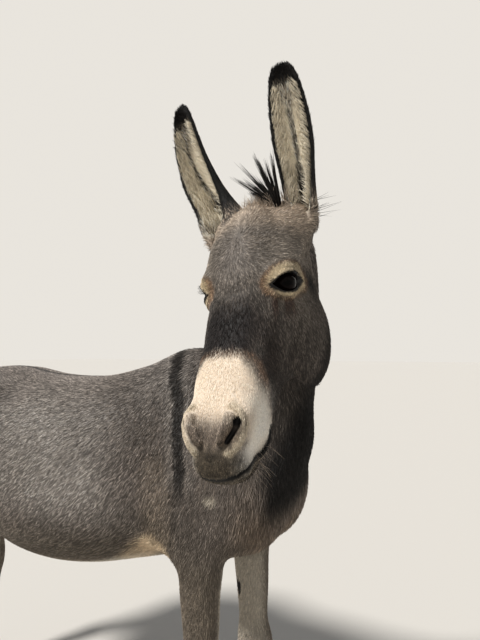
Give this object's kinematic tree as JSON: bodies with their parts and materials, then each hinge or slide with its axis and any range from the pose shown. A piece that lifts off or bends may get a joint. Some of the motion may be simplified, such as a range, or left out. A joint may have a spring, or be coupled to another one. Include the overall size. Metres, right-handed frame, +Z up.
{
  "type": "donkey",
  "caption": "Grey-brown donkey standing with its head raised and turned to its right, ears up, with a pale muzzle and a dark cross over the shoulders",
  "frame": {"origin": "centre of the bounding box's footprint, on the ground", "axes": "+Z up, the animal faces -Y, its right side is towards -X"},
  "size_m": [0.7728, 1.5396, 1.7416],
  "materials": {
    "coat": "short matt hair over skin",
    "ear": "short matt hair over skin",
    "eye": "wet gloss",
    "horn": "satin horn",
    "hair": "coarse matt hair"
  },
  "bodies": {
    "root": {"head": "coat", "neck": "coat", "forequarters": "coat", "barrel": "coat", "hindquarters": "coat", "foreleg_left": "coat", "foreleg_right": "coat", "hind_leg_left": "coat", "hind_leg_right": "coat", "ear_left": "ear", "ear_right": "ear", "eye_left": "eye", "eye_right": "eye", "hoof_fore_left": "horn", "hoof_fore_right": "horn", "hoof_hind_left": "horn", "hoof_hind_right": "horn", "tail": "hair"}
  },
  "joints": []
}
